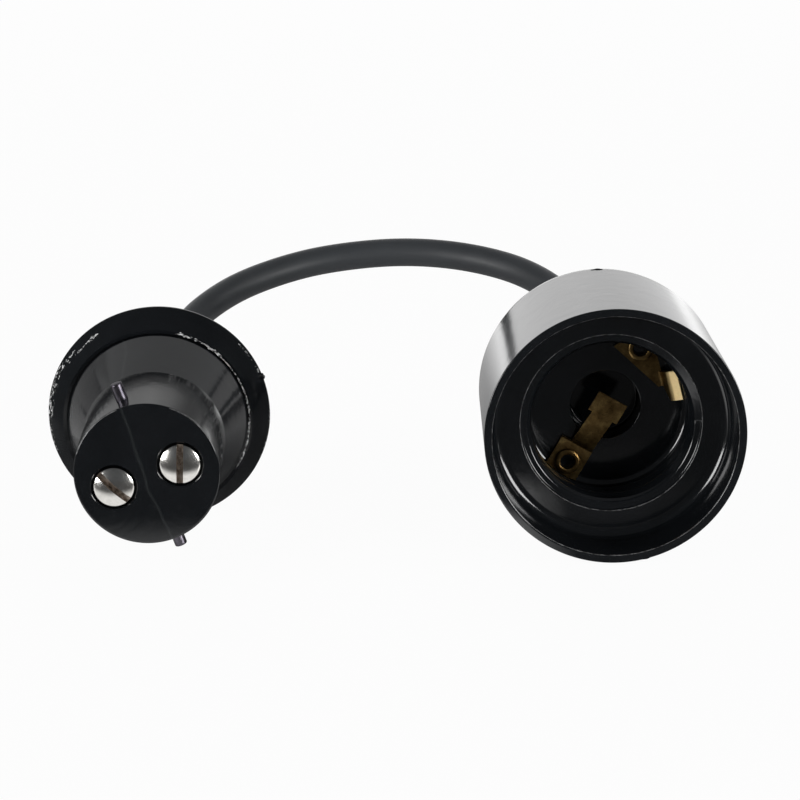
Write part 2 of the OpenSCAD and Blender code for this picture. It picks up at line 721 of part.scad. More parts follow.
// Leaf from its riveted foot to the pad on the axis, cut from one strip and bent
module centre_contact() {
    half = foot_len / 2;
    axis_x = eyelet_at * cos(arm_turn);
    axis_y = -eyelet_at * sin(arm_turn);
    pad_start = axis_x + pad_past - pad_len / 2;
    pad_end = pad_start + pad_len;
    color(brass) at_holder() rotate([0, 0, eyelet_angle + centre_turn]) translate([eyelet_at, 0, 0])
        rotate([0, 0, 180 + arm_turn]) difference() {
        intersection() {
            side_slab(ribbon([
                [-half, foot_mid], [half - strip_t / 2, foot_mid], [half + strip_t, foot_mid - pad_rise / 8],
                [pad_start - strip_t, pad_depth + pad_rise / 8], [pad_start + strip_t / 2, pad_depth],
                [pad_end, pad_depth - pad_rise / 14]
            ], strip_t), 2 * foot_w);
            union() {
                plan_slab([
                    [-half, -foot_w / 2], [half, -foot_w / 2], [half, foot_w / 2], [-half, foot_w / 2]
                ]);
                translate([0, axis_y, 0]) plan_slab([
                    [half - edge, -arm_w / 2], [pad_start, -arm_w / 2], [pad_start, -pad_w / 2],
                    [pad_end, -pad_w / 2], [pad_end, pad_w / 2], [pad_start, pad_w / 2],
                    [pad_start, arm_w / 2], [half - edge, arm_w / 2]
                ]);
            }
            translate([axis_x, axis_y, 0]) bar(chamber_r - foot_edge_gap, 0, floor_depth, fine);
        }
        bar(eyelet_r + 2 * slide_gap, 0, floor_depth);
    }
}

// Leaf with a foot on the floor and an upright tab that meets the side of a lamp's cap
module side_contact() {
    tab_back = -tab_w * 0.5;
    fold = -tab_w * 0.66;
    color(brass) at_holder() difference() {
        union() {
            intersection() {
                plan_slab([
                    [side_x - foot_w * 0.76, side_y + foot_w * 0.06],
                    [tab_x - tab_w * 0.62, tab_y - tab_w * 0.18],
                    [tab_x - tab_w * 0.54, tab_y + tab_w * 0.31],
                    [side_x + foot_w * 0.4, side_y + foot_w * 0.06],
                    [side_x - foot_w * 0.13, side_y + foot_w * 0.48]
                ]);
                bar(chamber_r - foot_edge_gap, foot_bottom - strip_t, foot_bottom, fine);
            }
            translate([tab_x, tab_y, 0]) rotate([0, 0, tab_turn]) intersection() {
                side_slab(ribbon([
                    [fold, foot_mid], [tab_back * 1.1, foot_mid],
                    [tab_back * 0.93, foot_mid - tab_rise * 0.12],
                    [tab_back * 0.62, foot_mid - tab_rise * 0.6],
                    [tab_back * 0.42, foot_mid - tab_rise * 0.78], [-tab_back * 0.04, foot_mid - tab_rise]
                ], strip_t), tab_w + over);
                plan_slab([
                    [fold - over, tab_w / 2 - tab_neck_w], [tab_back, tab_w / 2 - tab_neck_w],
                    [tab_back * 0.8, -tab_w / 2], [over, -tab_w / 2], [over, tab_w / 2],
                    [fold - over, tab_w / 2]
                ]);
            }
        }
        translate([side_x, side_y, 0]) bar(eyelet_r + 2 * slide_gap, 0, floor_depth);
    }
}

// Terminal plate under the eyelet, with the block that holds a core
module terminal(turn) {
    reach = block_at + block_w / 2;
    color(brass) at_holder() rotate([0, 0, eyelet_angle + turn]) translate([eyelet_at, 0, 0])
        difference() {
            union() {
                translate([-plate_len / 2, -plate_len / 2, -floor_back - plate_t])
                    cube([plate_len, plate_len / 2 + reach, plate_t]);
                translate([-plate_len / 2, block_at - block_w / 2, -block_end])
                    cube([plate_len, block_w, block_h]);
            }
            bar(eyelet_r + slide_gap, 0, block_end);
            translate([0, block_at, 0]) bar(wire_hole_r, block_end - block_h * 0.75, block_end + over);
            translate([0, block_at, -block_end + block_h * 0.4]) rotate([-90, 0, 0])
                cylinder(r = terminal_shank_r + slide_gap, h = block_w, $fn = small);
        }
}

module terminal_screw(turn) {
    head_base = block_at + block_w / 2;
    tip = block_at + core_r + slide_gap;
    color(nickel) at_holder() rotate([0, 0, eyelet_angle + turn])
        translate([eyelet_at, 0, -block_end + block_h * 0.4]) rotate([-90, 0, 0]) difference() {
            union() {
                translate([0, 0, tip]) cylinder(r = terminal_shank_r, h = head_base - tip, $fn = small);
                translate([0, 0, head_base])
                    cylinder(r = terminal_head_r, h = terminal_head_h, $fn = small);
            }
            translate([-terminal_head_r - over, -terminal_head_h / 4, head_base + terminal_head_h / 2])
                cube([2 * (terminal_head_r + over), terminal_head_h / 2, terminal_head_h]);
        }
}

// Insulated core from the end of the sheath to a terminal's block
module holder_core(turn, tint) {
    low = -block_end - core_d * 0.62;
    top = -holder_sheath_end;
    near = core_off + core_d * 1.1;
    far_x = eyelet_at - core_d * 0.5;
    far_y = block_at - core_d * 0.25;
    color(tint) at_holder() rotate([0, 0, eyelet_angle + turn]) tube([
        [core_off, 0, top], [core_off, 0, top + core_d * 0.4],
        [core_off + core_d * 0.35, core_d * 0.15, top + core_d],
        for (i = [0:4])
            let (s = i / 4)
            [
                near + (far_x - near) * s,
                core_d * 0.5 + (far_y - core_d * 0.5) * s,
                low - core_d * 0.1 * (1 - s)
            ],
        [eyelet_at - core_d * 0.12, block_at - core_d * 0.06, low + core_d * 0.35],
        [eyelet_at, block_at, low + core_d * 0.8],
        [eyelet_at, block_at, -block_end + block_h * 0.65]
    ], core_r, 8);
}

plug_body();
plug_cover();
bayonet_pin(0);  // bayonet_pin_upper
bayonet_pin(180);  // bayonet_pin_lower
contact_screw(-1, slot_angle_left);  // contact_screw_left
contact_screw(1, slot_angle_right);  // contact_screw_right
contact_bush(-1);  // contact_bush_left
contact_bush(1);  // contact_bush_right
plug_core(1, brown);  // plug_core_brown
plug_core(-1, blue);  // plug_core_blue
plug_grip_half(-1);  // plug_grip_half_left
plug_grip_half(1);  // plug_grip_half_right
cord();
holder_body();
holder_cap();
centre_contact();
side_contact();
eyelet(centre_turn);  // centre_eyelet
eyelet(0);  // side_eyelet
terminal(centre_turn);  // centre_terminal
terminal(0);  // side_terminal
terminal_screw(centre_turn);  // centre_terminal_screw
terminal_screw(0);  // side_terminal_screw
holder_core(centre_turn, brown);  // holder_core_brown
holder_core(0, blue);  // holder_core_blue
cord_clamp();
cord_clamp_screw(-1);  // cord_clamp_screw_left
cord_clamp_screw(1);  // cord_clamp_screw_right
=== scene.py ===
"""Looks of the lamp holder adapter: finishes, cord, moulded edges, screw thread, lights and camera."""
import json
import math
import random

import bmesh
import bpy
from mathutils import Matrix, Vector, noise

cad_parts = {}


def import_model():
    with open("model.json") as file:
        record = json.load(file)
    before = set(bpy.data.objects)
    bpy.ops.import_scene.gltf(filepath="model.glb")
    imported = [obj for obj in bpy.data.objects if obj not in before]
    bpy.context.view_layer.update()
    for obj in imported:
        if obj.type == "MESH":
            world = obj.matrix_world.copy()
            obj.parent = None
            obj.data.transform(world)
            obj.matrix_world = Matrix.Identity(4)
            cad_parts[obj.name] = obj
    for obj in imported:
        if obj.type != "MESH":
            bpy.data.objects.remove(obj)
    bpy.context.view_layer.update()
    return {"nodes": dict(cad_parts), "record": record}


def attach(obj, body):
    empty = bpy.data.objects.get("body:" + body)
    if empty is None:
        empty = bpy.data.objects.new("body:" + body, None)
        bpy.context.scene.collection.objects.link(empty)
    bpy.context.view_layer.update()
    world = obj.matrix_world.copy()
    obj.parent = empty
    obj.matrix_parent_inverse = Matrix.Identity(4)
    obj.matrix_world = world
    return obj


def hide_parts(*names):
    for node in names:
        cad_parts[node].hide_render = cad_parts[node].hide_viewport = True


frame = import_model()

MM = 0.001
SIDES = 288

# Sizes in millimetres and angles in degrees; a depth counts from the plug's face or the holder's rim

# Middle of the plug's face and of the holder's rim in the part's frame, and the plug's lean
PLUG_AT = (-36.61, -24.683, 17.005)
PLUG_LEAN = 1.27
HOLDER_AT = (34.29, -19.083, 20.03)

# Plug's nose and cover
NOSE_R = 11.0
NOSE_END_R = 11.11
NOSE_LEN = 17.15
FLARE_R = 14.27
FLARE_DEPTH = 26.85
SEAT_DEPTH = 28.0
SPIGOT_R = 13.0
LIP_R = 14.47
LIP_W = 0.55
LIP_DEPTH = 27.4
FLANGE_R = 17.71
FLANGE_DEPTH = 31.6
FLANGE_BACK = 32.35
SHOULDER_RISE = 0.08
SKIRT_R = 14.6
BELL_R = 13.2
BELL_END_R = 8.93
COVER_BORE_DEPTH = 34
PLUG_NECK_BASE = 45.0
PLUG_LEN = 48.0
NECK_R = 6.5
NECK_BORE_R = 2.75

# Contact screws and bayonet pins
CONTACT_GAP = 10.6
CONTACT_ANGLE = 19
CONTACT_DROP = 0.3
HEAD_R = 3.05
HEAD_DOME = 0.7
HEAD_SEAT = 0.1
SLOT_W = 1.0
SLOT_DEPTH = 0.5
SHANK_R = 1.45
SCREW_LEN = 9
RECESS_R = 3.45
RECESS = 1.9
BUSH_HOLE_R = 2.35
BUSH_HOLE_LEN = 6
PIN_R = 0.95
PIN_DEPTH = 4.9
PIN_TIP_R = 13.65
PIN_ANGLE = 109.5

# Holder's shroud, shell and socket
RIM_R = 20.03
SHROUD_R = 18.78
RING_R = 18.43
RING_DEPTH = 8.1
SHELL_R = 19.52
SHELL_BORE_R = 17.5
SHELL_FLOOR = 12
SOCKET_R = 15.5
SOCKET_BACK = 22
WELL_WALL_R = 7.8
BODY_LEN = 29.86
MOUTH_R = 14.1
CREST_R = 12.3
ROOT_R = 13.25
CHAMBER_R = 13.5
THREAD_TOP = 8.85
THREAD_END = 15.3
THREAD_PITCH = 3.63
THREAD_START = 62
MOUTH_OPEN = 25
FLOOR_DEPTH = 19.0
WELL_R = 5.5
WELL_DEPTH = 5.0
EYELET_AT = 10.8
EYELET_ANGLE = 60
EYELET_BORE_R = 1.15
EYELET_BARREL_R = 1.45
EYELET_HEAD_R = 2.0
EYELET_TOP = 17.6
EYELET_SEAT = 18.0
EYELET_END = 23.1
CENTRE_TURN = 176

# Holder's cap
CAP_R = 19.32
CAP_SPIGOT_R = 17.35
CAP_SPIGOT_DEPTH = 27.3
CAP_BORE_R = 15.6
CAP_FLOOR_R = 5.7
CAP_LEN = 44.01
DOME_DEPTH = 30.61
DOME_RISE = 7.9
DOME_INNER_RISE = 6.1

CORD_R = 2.5

# Flow line on the plug's face: a point (x, z) near it, its lean and sway, and its half widths where it is
# still plain and where it has faded
FLOW_AT = (-36.4, 15.5)
FLOW_LEAN = 19
FLOW_SWAY = 1.6
FLOW_CORE = 0.05
FLOW_EDGE = 0.3

# Route of the cord in metres: the same points as in the part's source
CORD_ROUTE = [
    (-0.03661, 0.012808, 0.017836), (-0.03661, 0.018306, 0.017958), (-0.03661, 0.023305, 0.018069),
    (-0.03661, 0.027304, 0.018158), (-0.0364, 0.033, 0.019), (-0.0354, 0.0405, 0.0211),
    (-0.0339, 0.0454, 0.0227), (-0.0315, 0.0503, 0.0243), (-0.0261, 0.0569, 0.0265),
    (-0.0192, 0.062, 0.0282), (-0.0112, 0.0655, 0.0295), (-0.0003, 0.0671, 0.0304),
    (0.0084, 0.0661, 0.0305), (0.0167, 0.0632, 0.0299), (0.024, 0.0583, 0.0287),
    (0.0295, 0.0518, 0.0268), (0.0317, 0.047, 0.0251), (0.0332, 0.0421, 0.0233),
    (0.034, 0.0374, 0.0218), (0.0343, 0.0325, 0.0206), (0.03429, 0.028927, 0.02003),
    (0.03429, 0.024927, 0.02003), (0.03429, 0.017927, 0.02003), (0.03429, 0.011627, 0.02003),
]


def local_frame(at, lean):
    """Frame whose Z points out of the mouth, with X to the right and Y up."""
    place = Matrix.Translation(Vector(at) * MM)
    return place @ Matrix.Rotation(math.radians(90 + lean), 4, "X")


PLUG = local_frame(PLUG_AT, PLUG_LEAN)
HOLDER = local_frame(HOLDER_AT, 0)


# Mesh helpers

def finish_mesh(name, bm, place, sharp=30):
    """Object from a bmesh in millimetres, set in a local frame, with its mesh in the part's frame."""
    bmesh.ops.recalc_face_normals(bm, faces=bm.faces)
    mesh = bpy.data.meshes.new(name)
    bm.to_mesh(mesh)
    bm.free()
    mesh.transform(place @ Matrix.Scale(MM, 4))
    mesh.polygons.foreach_set("use_smooth", [True] * len(mesh.polygons))
    mesh.set_sharp_from_angle(angle=math.radians(sharp))
    obj = bpy.data.objects.new(name, mesh)
    bpy.context.scene.collection.objects.link(obj)
    return obj


def rounded(points, steps=4):
    """Outline with its corners filleted: each point is (radius, depth) or (radius, depth, fillet)."""
    out = []
    count = len(points)
    for i, point in enumerate(points):
        here = Vector(point[:2])
        fillet = point[2] if len(point) > 2 else 0
        if fillet == 0 or i in (0, count - 1):
            out.append(tuple(here))
            continue
        before = Vector(points[i - 1][:2]) - here
        after = Vector(points[i + 1][:2]) - here
        half = before.angle(after) / 2
        reach = min(fillet / math.tan(half), before.length * 0.49, after.length * 0.49)
        start = here + before.normalized() * reach
        end = here + after.normalized() * reach
        for k in range(steps + 1):
            s = k / steps
            out.append(tuple((1 - s) ** 2 * start + 2 * s * (1 - s) * here + s * s * end))
    return out


def supported(outline, near=0.12):
    """Outline with a point close to both ends of every long line, which keeps shading off the fillets."""
    out = [outline[0]]
    for a, b in zip(outline, outline[1:]):
        length = math.dist(a, b)
        if length > 6 * near:
            for s in (near / length, 1 - near / length):
                out.append((a[0] + (b[0] - a[0]) * s, a[1] + (b[1] - a[1]) * s))
        out.append(b)
    return out


def lathe(name, outline, place, sides=SIDES, closed=False, wobble=None, sharp=30):
    """Turned piece from an outline of (radius, depth) points, radius 0 being the axis."""
    bm = bmesh.new()
    rings = []
    for radius, depth in supported(outline + outline[:1] if closed else outline):
        if radius < 1e-6:
            rings.append([bm.verts.new((0, 0, -depth))])
            continue
        ring = []
        for k in range(sides):
            a = 2 * math.pi * k / sides
            r, d = (radius, depth) if wobble is None else wobble(radius, depth, a)
            ring.append(bm.verts.new((r * math.cos(a), r * math.sin(a), -d)))
        rings.append(ring)
    if closed:
        for v in rings.pop():
            bm.verts.remove(v)
        rings.append(rings[0])
    for lower, upper in zip(rings, rings[1:]):
        for k in range(sides):
            n = (k + 1) % sides
            if len(lower) == 1 and len(upper) == 1:
                break
            if len(lower) == 1:
                bm.faces.new((lower[0], upper[n], upper[k]))
            elif len(upper) == 1:
                bm.faces.new((lower[k], lower[n], upper[0]))
            else:
                bm.faces.new((lower[k], lower[n], upper[n], upper[k]))
    return finish_mesh(name, bm, place, sharp)


def cut(obj, *tools):
    """Subtracts closed tools from an object and deletes them."""
    for tool in tools:
        step = obj.modifiers.new("cut", "BOOLEAN")
        step.operation = "DIFFERENCE"
        step.solver = "EXACT"
        step.object = tool
    graph = bpy.context.evaluated_depsgraph_get()
    mesh = bpy.data.meshes.new_from_object(obj.evaluated_get(graph))
    obj.modifiers.clear()
    obj.data = mesh
    for tool in tools:
        bpy.data.objects.remove(tool)
    mesh.polygons.foreach_set("use_smooth", [True] * len(mesh.polygons))
    mesh.set_sharp_from_angle(angle=math.radians(30))


def soften(obj, width):
    """Small bevel on every sharp edge, so that edges catch the light."""
    step = obj.modifiers.new("edges", "BEVEL")
    step.width = width * MM
    step.segments = 2
    step.limit_method = "ANGLE"
    step.angle_limit = math.radians(35)
    step.harden_normals = True


# Materials

PHENOLIC_IOR = 1.58
# Painted highlight on the side contact's lip: (place in metres, share) along X and along Y
LIP_HIGHLIGHT_X = [(0.0428, 0.0), (0.0432, 1.0)]
LIP_HIGHLIGHT_Y = [(-0.0026, 1.0), (-0.0021, 0.0)]


class Look:
    """Small helper that builds a node material."""

    def __init__(self, name):
        self.material = bpy.data.materials.new(name)
        self.material.use_nodes = True
        self.nodes = self.material.node_tree.nodes
        self.links = self.material.node_tree.links
        self.shader = self.nodes["Principled BSDF"]
        self.coords = self.nodes.new("ShaderNodeTexCoord").outputs["Object"]
        self.normal = None

    def set(self, **values):
        for key, value in values.items():
            self.shader.inputs[key.replace("_", " ")].default_value = value

    def noise(self, scale, detail=4, rough=0.5, stretch=None, twist=0):
        node = self.nodes.new("ShaderNodeTexNoise")
        node.inputs["Scale"].default_value = scale
        node.inputs["Detail"].default_value = detail
        node.inputs["Roughness"].default_value = rough
        node.inputs["Distortion"].default_value = twist
        source = self.coords
        if stretch is not None:
            mapping = self.nodes.new("ShaderNodeMapping")
            mapping.inputs["Rotation"].default_value = [math.radians(a) for a in stretch[1]]
            mapping.inputs["Scale"].default_value = stretch[0]
            self.links.new(source, mapping.inputs["Vector"])
            source = mapping.outputs["Vector"]
        self.links.new(source, node.inputs["Vector"])
        return node.outputs["Fac"]

    def ramp(self, source, stops):
        node = self.nodes.new("ShaderNodeValToRGB")
        self.links.new(source, node.inputs["Fac"])
        while len(node.color_ramp.elements) < len(stops):
            node.color_ramp.elements.new(0.5)
        for element, (at, value) in zip(node.color_ramp.elements, stops):
            element.position = at
            element.color = (*value, 1) if isinstance(value, tuple) else (value, value, value, 1)
        return node.outputs["Color"]

    def feed(self, source, socket):
        self.links.new(source, self.shader.inputs[socket])

    def bump(self, source, strength, distance):
        node = self.nodes.new("ShaderNodeBump")
        node.inputs["Strength"].default_value = strength
        node.inputs["Distance"].default_value = distance * MM
        self.links.new(source, node.inputs["Height"])
        if self.normal is not None:
            self.links.new(self.normal, node.inputs["Normal"])
        self.normal = node.outputs["Normal"]
        self.feed(self.normal, "Normal")


def graded(look, source, stops):
    """Value that follows (place, share) stops along a source in metres."""
    low, high = stops[0][0], stops[-1][0]
    spread = look.nodes.new("ShaderNodeMapRange")
    spread.inputs["From Min"].default_value = low
    spread.inputs["From Max"].default_value = high
    look.links.new(source, spread.inputs["Value"])
    return look.ramp(spread.outputs["Result"], [((at - low) / (high - low), share) for at, share in stops])


def reckon(look, operation, *sources):
    """Math node; a source is a socket or a number."""
    node = look.nodes.new("ShaderNodeMath")
    node.operation = operation
    for socket, source in zip(node.inputs, sources):
        if isinstance(source, (int, float)):
            socket.default_value = source
        else:
            look.links.new(source, socket)
    return node.outputs[0]


def blend(look, share, first, second):
    """Colour between the socket first and the colour second."""
    node = look.nodes.new("ShaderNodeMix")
    node.data_type = "RGBA"
    look.links.new(share, node.inputs["Factor"])
    look.links.new(first, node.inputs["A"])
    node.inputs["B"].default_value = (*second, 1)
    return node.outputs["Result"]


def axes(look, source):
    """Sockets of the X, Y and Z of a vector."""
    node = look.nodes.new("ShaderNodeSeparateXYZ")
    look.links.new(source, node.inputs[0])
    return node.outputs


def wandering_line(look):
    """Share of the thin flow line that runs down the plug's face and sways as it goes."""
    place = look.nodes.new("ShaderNodeMapping")
    place.inputs["Location"].default_value = (-FLOW_AT[0] * MM, 0, -FLOW_AT[1] * MM)
    look.links.new(look.coords, place.inputs["Vector"])
    turn = look.nodes.new("ShaderNodeMapping")
    turn.inputs["Rotation"].default_value = (0, math.radians(FLOW_LEAN), 0)
    look.links.new(place.outputs["Vector"], turn.inputs["Vector"])
    sway = reckon(look, "MULTIPLY_ADD", look.noise(110, 2), 2 * FLOW_SWAY * MM, -FLOW_SWAY * MM)
    away = reckon(look, "ABSOLUTE", reckon(look, "ADD", axes(look, turn.outputs["Vector"])["X"], sway))
    return graded(look, away, [(FLOW_CORE * MM, 1), (FLOW_EDGE * MM, 0)])


def phenolic(name, flow_line=False):
    """Glossy black moulding with fine scratches, and if asked with the flow line of the plug's face."""
    look = Look(name)
    look.set(IOR=PHENOLIC_IOR)
    cloud = look.noise(90, 5, 0.6, twist=0.6)
    colour = look.ramp(cloud, [(0.3, (0.004, 0.005, 0.006)), (0.7, (0.007, 0.008, 0.0095))])
    if flow_line:
        colour = blend(look, wandering_line(look), colour, (0.016, 0.018, 0.019))
    look.feed(colour, "Base Color")
    scratch = look.noise(900, 3, 0.6, stretch=((1, 14, 1), (20, 35, 15)))
    look.feed(look.ramp(scratch, [(0.35, 0.1), (0.6, 0.13), (0.78, 0.26)]), "Roughness")
    flow = look.noise(160, 3, 0.5, twist=1.5)
    look.bump(flow, 0.16, 0.15)
    look.bump(scratch, 0.05, 0.02)
    return look.material


def glinting_flash_phenolic():
    """Broken mould flash: the same plastic with a torn surface, and pale specks painted into its colour as
    glints.
    """
    look = Look("torn_phenolic_painted_glints")
    look.set(IOR=PHENOLIC_IOR)
    look.set(Roughness=0.16)
    look.feed(look.ramp(look.noise(2400, 3), [(0.4, 0.03), (0.56, 0.85)]), "Base Color")
    look.bump(look.noise(2600, 4, 0.7), 0.7, 0.15)
    return look.material


def brass():
    """Rolled brass with brown tarnish, and a highlight painted on the side contact's lip in pale, less
    metallic brass.
    """
    look = Look("brass")
    stain = look.noise(380, 5, 0.65)
    tint = look.ramp(stain, [
        (0.32, (0.1, 0.058, 0.02)), (0.52, (0.25, 0.16, 0.06)), (0.72, (0.5, 0.35, 0.14)),
    ])
    grain = look.noise(1500, 3, 0.6, stretch=((1, 1, 9), (0, 30, 0)))
    look.feed(look.ramp(grain, [(0.3, 0.26), (0.75, 0.4)]), "Roughness")
    at = axes(look, look.coords)
    # Painted highlight: the lip turns pale and less metallic
    lip_highlight = reckon(look, "MULTIPLY", graded(look, at["X"], LIP_HIGHLIGHT_X), graded(look, at["Y"], LIP_HIGHLIGHT_Y))
    look.feed(blend(look, lip_highlight, tint, (0.98, 0.74, 0.36)), "Base Color")
    look.feed(graded(look, lip_highlight, [(0, 1.0), (1, 0.3)]), "Metallic")
    look.bump(grain, 0.12, 0.03)
    look.bump(stain, 0.2, 0.06)
    return look.material


def nickel():
    """Nickel plate of the contact screws, slightly uneven."""
    look = Look("nickel")
    look.set(Metallic=1.0)
    cloud = look.noise(700, 4, 0.6)
    look.feed(look.ramp(cloud, [(0.3, (0.74, 0.72, 0.68)), (0.7, (0.93, 0.91, 0.87))]), "Base Color")
    fine = look.noise(3000, 3, 0.6, stretch=((1, 1, 8), (10, 50, 0)))
    look.feed(look.ramp(fine, [(0.3, 0.12), (0.75, 0.27)]), "Roughness")
    look.bump(fine, 0.12, 0.02)
    look.bump(cloud, 0.15, 0.05)
    return look.material


def slot_grime():
    """Inside of a screwdriver slot: scraped, brown and dull."""
    look = Look("slot_grime")
    look.set(Metallic=0.8)
    look.feed(look.ramp(look.noise(1800, 4, 0.7), [(0.35, (0.12, 0.09, 0.07)), (0.7, (0.6, 0.51, 0.43))]),
              "Base Color")
    look.set(Roughness=0.42)
    return look.material


def pin_steel():
    """Dark steel of the bayonet pins."""
    look = Look("pin_steel")
    look.set(Metallic=1.0)
    look.feed(look.ramp(look.noise(900, 3), [(0.3, (0.07, 0.065, 0.08)), (0.8, (0.19, 0.175, 0.2))]),
              "Base Color")
    look.feed(look.ramp(look.noise(2500, 3), [(0.3, 0.25), (0.8, 0.45)]), "Roughness")
    look.bump(look.noise(2500, 3), 0.15, 0.03)
    return look.material


def sheath():
    """Dark grey flexible sheath with a soft sheen and fine extrusion grain."""
    look = Look("cord_sheath")
    look.set(IOR=1.5)
    cloud = look.noise(130, 4, 0.6)
    look.feed(look.ramp(cloud, [(0.3, (0.038, 0.041, 0.045)), (0.7, (0.048, 0.052, 0.057))]), "Base Color")
    grain = look.noise(2600, 3, 0.7)
    look.feed(look.ramp(grain, [(0.3, 0.42), (0.7, 0.56)]), "Roughness")
    look.bump(look.noise(260, 3), 0.12, 0.12)
    look.bump(grain, 0.2, 0.03)
    return look.material


def insulation(name, low, high):
    """Smooth insulation of a core, between two close tints."""
    look = Look(name)
    look.feed(look.ramp(look.noise(600, 3), [(0.3, low), (0.7, high)]), "Base Color")
    look.set(Roughness=0.45)
    look.bump(look.noise(2000, 3), 0.1, 0.03)
    return look.material


def edge_highlight_phenolic():
    """Moulded edge with a highlight painted on it: pale in colour and a little dull."""
    look = Look("edge_highlight_phenolic")
    look.set(IOR=PHENOLIC_IOR)
    look.feed(look.ramp(look.noise(1100, 4, 0.7), [(0.4, 0.012), (0.7, 0.2)]), "Base Color")
    look.set(Roughness=0.3)
    return look.material


BLACK = phenolic("black_phenolic")
# Pale colour on moulded edges that stands in for their thin highlights
EDGE_HIGHLIGHT = edge_highlight_phenolic()
FLOW = phenolic("black_phenolic_flow", flow_line=True)
# Pale specks in this colour are painted glints on the mould flash
FLASH_GLINTS = glinting_flash_phenolic()
BRASS = brass()
NICKEL = nickel()
SLOT = slot_grime()
PIN = pin_steel()
SHEATH = sheath()
BROWN = insulation("core_brown", (0.16, 0.07, 0.03), (0.22, 0.1, 0.05))
BLUE = insulation("core_blue", (0.03, 0.12, 0.4), (0.05, 0.18, 0.5))

SLOT_LOOKS = {
    "black_phenolic": BLACK, "pin_steel": PIN, "nickel": NICKEL, "brass": BRASS,
    "core_brown": BROWN, "core_blue": BLUE, "cord_sheath": SHEATH,
}


def dress(obj, material, nodes=()):
    """Gives a piece of the root body its finish and hides the CAD nodes that it stands for."""
    obj.data.materials.clear()
    obj.data.materials.append(material)
    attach(obj, "root")
    if nodes:
        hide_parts(*nodes)


# CAD nodes that stay keep their meshes and get the same finishes
for part in frame["record"]["subparts"]:
    node = frame["nodes"].get(part["node"])
    if node is not None:
        node.data.materials.clear()
        node.data.materials.append(SLOT_LOOKS[part["material_slot"]])


# Plug

def on_contact(side):
    """Frame on the axis of the left (-1) or right (1) contact screw."""
    turn = Matrix.Rotation(math.radians(CONTACT_ANGLE), 4, "Z")
    return PLUG @ Matrix.Translation((0, -CONTACT_DROP * MM, 0)) @ turn @ Matrix.Translation(
        (side * CONTACT_GAP / 2 * MM, 0, 0))


def paint_edge_highlight(body, place, pale):
    """Edge highlight material, painted, on the faces whose radius, depth and angle in degrees in the frame
    place are pale.
    """
    body.data.materials.append(EDGE_HIGHLIGHT)
    back = place.inverted()
    for face in body.data.polygons:
        at = back @ face.center / MM
        if pale(math.hypot(at.x, at.y), -at.z, math.degrees(math.atan2(at.y, at.x))):
            face.material_index = 1


def plug_nose():
    """Nose and flare of the plug, with the recesses of the contact screws and a highlight painted on its
    front edge.
    """
    outline = rounded([
        (0, 0), (NOSE_R, 0, 0.28), (NOSE_END_R, NOSE_LEN, 0.5), (FLARE_R, FLARE_DEPTH, 0.22),
        (FLARE_R, SEAT_DEPTH), (SPIGOT_R, SEAT_DEPTH), (SPIGOT_R, SEAT_DEPTH + 2), (0, SEAT_DEPTH + 2),
    ])
    nose = lathe("plug_nose", outline, PLUG)
    tools = []
    for side in (-1, 1):
        tools.append(lathe("tool", [
            (0, -1), (RECESS_R + 0.15, -1), (RECESS_R + 0.15, 0.05), (RECESS_R, 0.2), (RECESS_R, RECESS),
            (BUSH_HOLE_R, RECESS), (BUSH_HOLE_R, BUSH_HOLE_LEN), (0, BUSH_HOLE_LEN),
        ], on_contact(side), 96))
    cut(nose, *tools)
    dress(nose, FLOW, nodes=["plug_body"])

    def pale(radius, depth, angle):
        edge = NOSE_R - 0.2 < radius < NOSE_R and depth < 0.2
        return edge and (28 < angle < 70 or 112 < angle < 162)
    # Painted highlight on two arcs of the face's front edge
    paint_edge_highlight(nose, PLUG, pale)


def contact_screw(name, side, slot_angle):
    """Screw with a domed head, whose slot is cut by a blade of a darker material."""
    radius = (HEAD_R ** 2 + HEAD_DOME ** 2) / (2 * HEAD_DOME)
    top = HEAD_SEAT - HEAD_DOME
    outline = [(0, top)]
    for i in range(1, 15):
        r = (HEAD_R - 0.12) * i / 14
        outline.append((r, top + radius - math.sqrt(radius ** 2 - r * r)))
    outline += [(HEAD_R - 0.03, HEAD_SEAT + 0.02), (HEAD_R, HEAD_SEAT + 0.12), (HEAD_R, RECESS),
                (SHANK_R, RECESS), (SHANK_R, SCREW_LEN - 0.3), (SHANK_R - 0.4, SCREW_LEN), (0, SCREW_LEN)]
    place = on_contact(side)
    screw = lathe(name, outline, place, 128, sharp=35)
    bm = bmesh.new()
    bmesh.ops.create_cube(bm, size=1)
    for v in bm.verts:
        v.co = Vector((v.co.x * 3 * HEAD_R, v.co.y * SLOT_W, (v.co.z + 0.5) * HEAD_R - SLOT_DEPTH))
    turn = Matrix.Rotation(math.radians(slot_angle - CONTACT_ANGLE), 4, "Z")
    blade = finish_mesh("tool", bm, place @ turn)
    for face in blade.data.polygons:
        face.material_index = 1
    for piece in (screw, blade):
        piece.data.materials.append(NICKEL)
        piece.data.materials.append(SLOT)
    cut(screw, blade)
    soften(screw, 0.06)
    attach(screw, "root")
    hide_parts(name)


def bayonet_pin(name, turn):
    """Pin that stands out of the nose at a turn in degrees from the upper one."""
    outline = rounded([(0, 0), (PIN_R, 0, 0.25), (PIN_R, 6), (0, 6)])
    spin = Matrix.Rotation(math.radians(PIN_ANGLE + turn), 4, "Z")
    place = PLUG @ spin @ Matrix.Translation((PIN_TIP_R * MM, 0, -PIN_DEPTH * MM))
    pin = lathe(name, outline, place @ Matrix.Rotation(math.radians(90), 4, "Y"), 64)
    dress(pin, PIN, nodes=[name])


